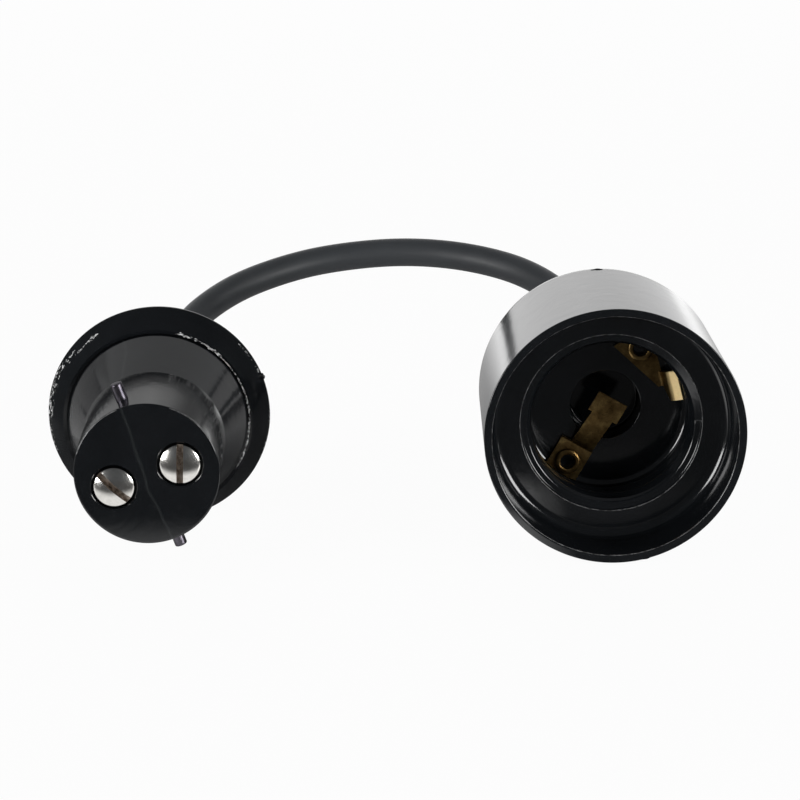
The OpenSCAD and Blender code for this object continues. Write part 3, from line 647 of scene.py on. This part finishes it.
def plug_cover():
    """Cover of the plug from its lip over the flange to the cord's neck."""
    shoulder_w = FLANGE_R - LIP_R - LIP_W
    points = [(LIP_R, LIP_DEPTH + 0.1)]
    for i in range(17):
        s = i / 16
        points.append((FLANGE_R - shoulder_w * (1 - s), LIP_DEPTH + (FLANGE_DEPTH - LIP_DEPTH) * s
                       - SHOULDER_RISE * 4 * s * (1 - s)))
    points += rounded([
        (FLANGE_R, FLANGE_DEPTH + 0.12), (FLANGE_R - 0.1, FLANGE_BACK, 0.3),
        (FLANGE_R - 0.4, FLANGE_BACK + 0.63, 0.4), (FLANGE_R - 1.55, FLANGE_BACK + 1.1, 1),
        (SKIRT_R, FLANGE_BACK + 1.9, 1.5), (BELL_R, FLANGE_BACK + 4.6, 4),
        (BELL_END_R, PLUG_NECK_BASE - 2.5, 3),
        (NECK_R, PLUG_NECK_BASE, 1.5), (NECK_R, PLUG_LEN - 0.1, 0.5), (NECK_R - 0.5, PLUG_LEN, 0.2),
        (NECK_BORE_R + 0.4, PLUG_LEN, 0.3), (NECK_BORE_R, PLUG_LEN - 0.4), (NECK_BORE_R, PLUG_NECK_BASE),
    ], 5)
    bore_r = SPIGOT_R + 0.05
    points += [(bore_r, COVER_BORE_DEPTH), (bore_r, SEAT_DEPTH), (LIP_R, SEAT_DEPTH)]

    def wobble(radius, depth, a):
        uneven = noise.noise(Vector((2.2 * math.cos(a), 2.2 * math.sin(a), 0.35 * depth)))
        return radius - 0.05 * max(0.0, uneven) * (radius > 15), depth
    cover = lathe("plug_cover_shell", points, PLUG, closed=True, wobble=wobble)
    dress(cover, BLACK, nodes=["plug_cover"])


def nub(name, place, radius, angle, depth, size):
    """Small bead or flake left by the mould: its size is given outwards, along the edge and in depth."""
    bm = bmesh.new()
    bmesh.ops.create_icosphere(bm, subdivisions=4, radius=0.5)
    turn = Matrix.Rotation(math.radians(angle), 4, "Z")
    for v in bm.verts:
        bead = v.co * (0.85 + 0.5 * noise.noise(v.co * 2 + Vector((angle, 0, 0))))
        bead = Vector(b * s for b, s in zip(bead, size))
        v.co = turn @ (Vector((radius, 0, -depth)) + bead)
    dress(finish_mesh(name, bm, place, 60), BLACK)


def flash(name, arcs, seed):
    """Torn mould flash: tiny chips along arcs of (radius, depth, start and end in degrees, size, spread)."""
    chance = random.Random(seed)
    bm = bmesh.new()
    for radius, depth, start, end, size, spread in arcs:
        steps = int(abs(end - start) * 2.8)
        for k in range(steps):
            if chance.random() < 0.35:
                continue
            a = math.radians(start + (end - start) * (k + chance.random()) / steps)
            grow = size * (0.25 + 0.8 * chance.random())
            middle = Vector((
                (radius + spread * (chance.random() - 0.5)) * math.cos(a),
                (radius + spread * (chance.random() - 0.5)) * math.sin(a),
                -depth - 0.25 * grow))
            corners = []
            for i in range(5):
                turn = 2 * math.pi * (i + chance.random() * 0.6) / 5
                reach = grow * (0.6 + 0.6 * chance.random())
                along = Vector((-math.sin(a), math.cos(a), 0)) * math.cos(turn) * reach * 1.7
                across = Vector((math.cos(a), math.sin(a), -0.6)) * math.sin(turn) * reach * 0.6
                corners.append(bm.verts.new(middle + along + across))
            top = bm.verts.new(middle + Vector((0, 0, grow * (0.25 + 0.4 * chance.random()))))
            low = bm.verts.new(middle - Vector((0, 0, grow * 0.5)))
            for i in range(5):
                n = (i + 1) % 5
                bm.faces.new((corners[i], corners[n], top))
                bm.faces.new((corners[n], corners[i], low))
    chips = finish_mesh(name, bm, PLUG, 5)
    # The chips' pale specks are painted glints
    dress(chips, FLASH_GLINTS)


plug_nose()
contact_screw("contact_screw_left", -1, -43)
contact_screw("contact_screw_right", 1, 88)
bayonet_pin("bayonet_pin_upper", 0)
bayonet_pin("bayonet_pin_lower", 180)
plug_cover()
nub("mould_nub", PLUG, 17.62, 20, 31.4, (1.1, 1.1, 1.1))
flash("lip_flash", [(14.6, LIP_DEPTH, 56, -32, 0.17, 0.3), (14.8, LIP_DEPTH, 76, 46, 0.24, 0.5)], 3)
flash("edge_flash", [
    (16.4, 29.5, 124, 148, 0.26, 0.9), (16.9, 30.3, 140, 180, 0.26, 1.1), (17.4, 31.1, 150, 200, 0.22, 0.5),
    (17.3, 31.0, 22, 42, 0.18, 0.5), (17.5, 31.3, 8, -28, 0.1, 0.3),
], 5)


# Cord

def smooth_route(points, steps=8):
    """Points of a centripetal curve through the route's own points."""
    pts = [Vector(p) for p in points]
    pts = [2 * pts[0] - pts[1]] + pts + [2 * pts[-1] - pts[-2]]
    out = []
    for i in range(1, len(pts) - 2):
        p0, p1, p2, p3 = pts[i - 1:i + 3]
        t1 = math.sqrt((p1 - p0).length)
        t2 = t1 + math.sqrt((p2 - p1).length)
        t3 = t2 + math.sqrt((p3 - p2).length)
        for k in range(steps):
            t = t1 + (t2 - t1) * k / steps
            a1 = p0 * ((t1 - t) / t1) + p1 * (t / t1)
            a2 = p1 * ((t2 - t) / (t2 - t1)) + p2 * ((t - t1) / (t2 - t1))
            a3 = p2 * ((t3 - t) / (t3 - t2)) + p3 * ((t - t2) / (t3 - t2))
            b1 = a1 * ((t2 - t) / t2) + a2 * (t / t2)
            b2 = a2 * ((t3 - t) / (t3 - t1)) + a3 * ((t - t1) / (t3 - t1))
            out.append(b1 * ((t2 - t) / (t2 - t1)) + b2 * ((t - t1) / (t2 - t1)))
    out.append(pts[-2])
    return out


def cord():
    """Sheath of the cord along its route, from the plug's cover into the holder's neck."""
    line = smooth_route(CORD_ROUTE)
    curve = bpy.data.curves.new("cord_sheath", "CURVE")
    curve.dimensions = "3D"
    spline = curve.splines.new("POLY")
    spline.points.add(len(line) - 1)
    for point, at in zip(spline.points, line):
        point.co = (*at, 1)
    spline.use_smooth = True
    curve.bevel_depth = CORD_R * MM
    curve.bevel_resolution = 12
    curve.use_fill_caps = True
    obj = bpy.data.objects.new("cord_sheath", curve)
    bpy.context.scene.collection.objects.link(obj)
    dress(obj, SHEATH, nodes=["cord"])


cord()


# Holder

def thread_radius(depth, a):
    """Radius of the threaded wall: a rounded helical groove that opens into the mouth."""
    turns = (depth - THREAD_TOP) / THREAD_PITCH + (a - math.radians(THREAD_START)) / (2 * math.pi)
    phase = abs(turns - round(turns)) * THREAD_PITCH
    groove = 0.5 + 0.5 * math.cos(2 * math.pi * phase / THREAD_PITCH)
    return CREST_R + (ROOT_R - CREST_R) * groove


def holder_body():
    """Shroud, ring floor, threaded wall, chamber and floor turned as one piece."""
    well_end = FLOOR_DEPTH + WELL_DEPTH
    front = rounded([
        (SHELL_BORE_R, SHELL_FLOOR), (SHELL_BORE_R, BODY_LEN), (SHELL_R, BODY_LEN, 0.1), (RIM_R, 0, 0.18),
        (SHROUD_R, 0, 0.3), (RING_R, RING_DEPTH, 1.6), (MOUTH_R, RING_DEPTH, 0.16),
        (MOUTH_R - 0.22, RING_DEPTH + 0.4, 0.3), (CREST_R + 0.75, RING_DEPTH + 0.46, 0.4),
        (CREST_R + 0.5, RING_DEPTH + 0.75), (CREST_R + 0.25, THREAD_TOP),
    ], 5)
    count = 84
    thread = [(CREST_R, THREAD_TOP + (THREAD_END - THREAD_TOP) * i / count) for i in range(count + 1)]
    back = rounded([
        (CREST_R + 0.2, THREAD_END + 0.12), (CHAMBER_R, THREAD_END + 0.9, 0.3),
        (CHAMBER_R, FLOOR_DEPTH, 1.6), (WELL_R, FLOOR_DEPTH, 0.25), (WELL_R, well_end, 0.3), (0, well_end),
    ], 6)
    outer = [(0, well_end + 2), (WELL_WALL_R, well_end + 2), (WELL_WALL_R, SOCKET_BACK),
             (SOCKET_R, SOCKET_BACK), (SOCKET_R, SHELL_FLOOR)]

    def wobble(radius, depth, a):
        """Opens the mouth's step into a cone on one side, and turns the wall into the thread."""
        if RING_DEPTH < depth < THREAD_TOP and radius < MOUTH_R:
            off = 1.6 * (a - math.radians(MOUTH_OPEN))
            wide = math.cos(off) if abs(off) < math.pi / 2 else 0
            cone = RING_DEPTH + (MOUTH_R - radius) * (THREAD_TOP - RING_DEPTH) / (MOUTH_R - CREST_R)
            return radius, depth + (cone - depth) * min(1, 2 * wide)
        if radius < ROOT_R + 0.01 and THREAD_TOP - 0.2 <= depth <= THREAD_END + 0.2 and radius > WELL_R + 1:
            return max(radius, thread_radius(depth, a)), depth
        return radius, depth
    outline = front + thread + back + outer
    body = lathe("holder_shroud", outline, HOLDER, closed=True, wobble=wobble, sharp=38)
    dress(body, BLACK, nodes=["holder_body"])

    def pale(radius, depth, angle):
        edge_of_mouth = MOUTH_R - 0.04 < radius < MOUTH_R + 0.1 and depth < RING_DEPTH + 0.1
        edge_of_rim = SHROUD_R - 0.05 < radius < SHROUD_R + 0.14 and 0.0 < depth < 0.2
        return edge_of_mouth or edge_of_rim
    # Painted highlight along the edges of the mouth and of the rim
    paint_edge_highlight(body, HOLDER, pale)


def holder_cap():
    """Domed rear cover of the holder: spigot, dome outside, cord's neck, dome inside."""
    dome_foot = NECK_R + 0.8
    dome_end = DOME_DEPTH + DOME_RISE
    inner_end = DOME_DEPTH + DOME_INNER_RISE
    points = rounded([
        (CAP_BORE_R, CAP_SPIGOT_DEPTH), (CAP_SPIGOT_R, CAP_SPIGOT_DEPTH, 0.2), (CAP_SPIGOT_R, BODY_LEN),
        (CAP_R, BODY_LEN, 0.15),
    ], 3)
    for i in range(25):
        a = math.radians(90 * i / 24)
        points.append((dome_foot + (CAP_R - dome_foot) * math.cos(a), DOME_DEPTH + DOME_RISE * math.sin(a)))
    points += rounded([
        (NECK_R + 0.4, dome_end + 0.39), (NECK_R, dome_end + 1.59, 0.8), (NECK_R, CAP_LEN - 0.11, 0.5),
        (NECK_R - 0.5, CAP_LEN, 0.2), (NECK_BORE_R + 0.4, CAP_LEN, 0.3), (NECK_BORE_R, CAP_LEN - 0.41),
        (NECK_BORE_R, inner_end + 0.19), (CAP_FLOOR_R, inner_end + 0.09),
    ], 5)
    for i in range(11):
        a = math.radians(90 - 90 * i / 10)
        points.append((CAP_FLOOR_R + (CAP_BORE_R - CAP_FLOOR_R) * math.cos(a),
                       DOME_DEPTH + DOME_INNER_RISE * math.sin(a)))
    dress(lathe("holder_dome", points, HOLDER, closed=True), BLACK, nodes=["holder_cap"])


holder_body()
holder_cap()
nub("back_edge_flake", HOLDER, 19.5, 92, BODY_LEN - 0.2, (0.35, 2.0, 0.5))
nub("rim_flake", HOLDER, 19.95, -76, 0.3, (0.4, 1.7, 0.5))


# Socket contacts

def eyelet(name, turn):
    """Rolled eyelet that rivets a contact to the socket's floor, at a turn in degrees."""
    outline = rounded([
        (EYELET_BORE_R, EYELET_SEAT + 0.2), (EYELET_BORE_R, EYELET_TOP + 0.06, 0.2),
        (EYELET_BORE_R + 0.2, EYELET_TOP, 0.2), (EYELET_HEAD_R - 0.3, EYELET_TOP + 0.02, 0.3),
        (EYELET_HEAD_R, EYELET_TOP + 0.15, 0.12), (EYELET_HEAD_R, EYELET_SEAT - 0.02, 0.05),
        (EYELET_BARREL_R, EYELET_SEAT), (EYELET_BARREL_R, EYELET_END - 0.3),
        (EYELET_HEAD_R, EYELET_END - 0.3, 0.1), (EYELET_HEAD_R, EYELET_END, 0.1),
        (EYELET_BORE_R, EYELET_END), (EYELET_BORE_R, EYELET_SEAT + 0.4),
    ], 4)
    spin = Matrix.Rotation(math.radians(EYELET_ANGLE + turn), 4, "Z")
    place = HOLDER @ spin @ Matrix.Translation((EYELET_AT * MM, 0, 0))
    dress(lathe(name, outline, place, 96, closed=True), BRASS, nodes=[name])


soften(frame["nodes"]["centre_contact"], 0.09)
soften(frame["nodes"]["side_contact"], 0.06)
eyelet("centre_eyelet", CENTRE_TURN)
eyelet("side_eyelet", 0)


# Camera, floor and light

# Azimuth, elevation and roll in degrees, the point looked at in millimetres, and the distance in metres
CAMERA_ANGLES = (-0.84, 15.16, -0.62)
CAMERA_TARGET = (1.94, 6.15, 19.61)
CAMERA_DISTANCE = 0.47
FOCAL_PIXELS = 2937.5
PICTURE_PIXELS = 800

# Point of the part, in metres, that the lamps are turned to
LIT_POINT = (0, 0, 0.02)

# Floor as the part mirrors it, in metres: (place, share of its power) along one direction
FLOOR_FRONT = [(-0.052, 0.0), (-0.041, 0.8), (-0.028, 0.8), (-0.012, 0.0)]
FLOOR_FRONT_SIDE = [(-0.012, 0.5), (0.006, 1.0), (0.021, 1.0), (0.029, 0.03)]
FLOOR_BACK = [(0.02, 0.0), (0.05, 0.11), (0.12, 0.22), (0.2, 0.45), (0.34, 0.8)]
FLOOR_BACK_SIDE = [(0.02, 1.0), (0.045, 0.0)]
FLOOR_BACK_MIDDLE = -0.037
FLOOR_BACK_SPREAD = 0.75
FLOOR_REST = 0.03
FLOOR_POWER = 2
# Share of plain white in the floor that the camera sees; the rest shows the shadows
FLOOR_SEEN = 0.96

# Card behind the part, in metres: left, right, place along Y and top; then the shares of its power, from
# its left end (0) to its right one (1)
BACK_CARD = (-1.15, 1.15, 0.9, 0.43)
BACK_CARD_SHARE = [(0, 0.12), (0.22, 0.14), (0.34, 0.58), (0.41, 0.7), (0.5, 0.7), (0.56, 0.62),
                   (0.61, 0.58), (0.65, 0.66), (0.7, 0.82), (0.74, 0.84), (0.79, 0.3), (1, 0.2)]
BACK_CARD_POWER = 2

# Grey card just behind the plug's nose, in the same terms
NOSE_CARD = (-0.09, -0.005, 0.045, 0.062)
NOSE_CARD_SHARE = [(0, 0.3), (0.35, 0.42), (0.62, 0.58), (0.78, 0.42), (0.9, 0.16), (1, 0.1)]
NOSE_CARD_POWER = 1


def camera():
    """Camera fitted to the photograph's picture of both ends of the adapter."""
    azimuth, elevation, roll = (math.radians(a) for a in CAMERA_ANGLES)
    ahead = Vector((-math.sin(azimuth) * math.cos(elevation), math.cos(azimuth) * math.cos(elevation),
                    -math.sin(elevation)))
    level = Vector((math.cos(azimuth), math.sin(azimuth), 0))
    upright = level.cross(ahead)
    right = math.cos(roll) * level + math.sin(roll) * upright
    up = -math.sin(roll) * level + math.cos(roll) * upright
    place = Matrix((right, up, -ahead)).transposed().to_4x4()
    place.translation = Vector(CAMERA_TARGET) * MM - CAMERA_DISTANCE * ahead
    data = bpy.data.cameras.new("camera")
    data.sensor_width = 36
    data.lens = data.sensor_width * FOCAL_PIXELS / PICTURE_PIXELS
    data.clip_start = 0.01
    obj = bpy.data.objects.new("camera", data)
    obj.matrix_world = place
    bpy.context.scene.collection.objects.link(obj)
    bpy.context.scene.camera = obj


def panel(name, at, size, radiance):
    """Soft panel turned to the part, of a plain radiance in which 1 is white, unseen by the camera."""
    data = bpy.data.lights.new(name, "AREA")
    data.shape = "RECTANGLE"
    data.size, data.size_y = size
    data.energy = radiance * math.pi * size[0] * size[1]
    obj = bpy.data.objects.new(name, data)
    obj.location = at
    obj.rotation_euler = (Vector(LIT_POINT) - Vector(at)).to_track_quat("-Z", "Y").to_euler()
    obj.visible_camera = False
    bpy.context.scene.collection.objects.link(obj)


def sheet_between(name, corners):
    """Flat four-cornered sheet in the part's frame."""
    bm = bmesh.new()
    bm.faces.new([bm.verts.new(corner) for corner in corners])
    mesh = bpy.data.meshes.new(name)
    bm.to_mesh(mesh)
    bm.free()
    obj = bpy.data.objects.new(name, mesh)
    bpy.context.scene.collection.objects.link(obj)
    return obj


def glowing_card(name, extent, stops, power):
    """Upright card on the floor, unseen by the camera, with a brightness that changes from left to right."""
    left, right, at_y, top = extent
    card = sheet_between(name, [(left, at_y, 0), (right, at_y, 0), (right, at_y, top), (left, at_y, top)])
    look = Look(name)
    places = [(left + (right - left) * at, share) for at, share in stops]
    shine = look.nodes.new("ShaderNodeEmission")
    shine.inputs["Strength"].default_value = power
    look.links.new(graded(look, axes(look, look.coords)["X"], places), shine.inputs["Color"])
    look.links.new(shine.outputs[0], look.nodes["Material Output"].inputs["Surface"])
    card.data.materials.append(look.material)
    card.visible_camera = False
    return card


def stage():
    """Floor, which looks white to the camera and graded in the part's mirror, and the glowing cards."""
    floor = sheet_between("floor", [(-1.5, -0.6, -0.0002), (1.5, -0.6, -0.0002), (1.5, 2.4, -0.0002),
                                    (-1.5, 2.4, -0.0002)])
    look = Look("floor")
    look.set(Roughness=0.6)
    look.feed(look.ramp(look.noise(8, 2), [(0.3, 0.86), (0.7, 0.9)]), "Base Color")
    path = look.nodes.new("ShaderNodeLightPath")
    glow = look.nodes.new("ShaderNodeEmission")
    glow.inputs["Strength"].default_value = 1
    seen = look.nodes.new("ShaderNodeMixShader")
    look.links.new(reckon(look, "MULTIPLY", path.outputs["Is Camera Ray"], FLOOR_SEEN), seen.inputs["Fac"])
    look.links.new(look.shader.outputs[0], seen.inputs[1])
    look.links.new(glow.outputs[0], seen.inputs[2])
    # Mirrored in the part, the floor is bright far behind it and in a patch before the holder
    x, y, _ = axes(look, look.coords)
    front = reckon(look, "MULTIPLY", graded(look, y, FLOOR_FRONT), graded(look, x, FLOOR_FRONT_SIDE))
    away = reckon(look, "ABSOLUTE", reckon(look, "SUBTRACT", x, FLOOR_BACK_MIDDLE))
    aside = reckon(look, "SUBTRACT", away, reckon(look, "MULTIPLY", y, FLOOR_BACK_SPREAD))
    back = reckon(look, "MULTIPLY", graded(look, y, FLOOR_BACK), graded(look, aside, FLOOR_BACK_SIDE))
    share = reckon(look, "ADD", reckon(look, "ADD", front, back), FLOOR_REST)
    total = reckon(look, "MULTIPLY", share, FLOOR_POWER)
    mirrored = look.nodes.new("ShaderNodeEmission")
    look.links.new(total, mirrored.inputs["Strength"])
    mix = look.nodes.new("ShaderNodeMixShader")
    look.links.new(path.outputs["Is Glossy Ray"], mix.inputs["Fac"])
    look.links.new(seen.outputs[0], mix.inputs[1])
    look.links.new(mirrored.outputs[0], mix.inputs[2])
    look.links.new(mix.outputs[0], look.nodes["Material Output"].inputs["Surface"])
    floor.data.materials.append(look.material)

    # The card behind the part is brighter behind the holder; the grey one is close behind the plug's nose
    back_card = glowing_card("back_card", BACK_CARD, BACK_CARD_SHARE, BACK_CARD_POWER)
    nose_card = glowing_card("nose_card", NOSE_CARD, NOSE_CARD_SHARE, NOSE_CARD_POWER)
    nose_card.visible_shadow = False
    nose_card.visible_diffuse = False


def world():
    """White to the camera, and a dim cool room to everything else."""
    sky = bpy.data.worlds.new("studio")
    bpy.context.scene.world = sky
    sky.use_nodes = True
    nodes, links = sky.node_tree.nodes, sky.node_tree.links
    path = nodes.new("ShaderNodeLightPath")
    white = nodes.new("ShaderNodeBackground")
    white.inputs["Strength"].default_value = 1
    white.inputs["Color"].default_value = (1, 1, 1, 1)
    room = nodes["Background"]
    room.inputs["Color"].default_value = (0.9, 0.95, 1, 1)
    room.inputs["Strength"].default_value = 0.07
    mix = nodes.new("ShaderNodeMixShader")
    links.new(path.outputs["Is Camera Ray"], mix.inputs["Fac"])
    links.new(room.outputs[0], mix.inputs[1])
    links.new(white.outputs[0], mix.inputs[2])
    links.new(mix.outputs[0], nodes["World Output"].inputs["Surface"])


camera()
stage()
world()
panel("back_high", (0, 0.75, 0.68), (1.9, 0.62), 0.42)
panel("left_box", (-0.75, -0.1, 0.5), (0.2, 0.3), 4)
panel("right_box", (0.75, -0.1, 0.5), (0.2, 0.3), 4)
panel("left_front", (-0.54, -0.4, 0.1), (0.34, 0.28), 11)
panel("right_front", (0.54, -0.4, 0.1), (0.34, 0.28), 11)

bpy.context.scene.view_settings.view_transform = "Standard"
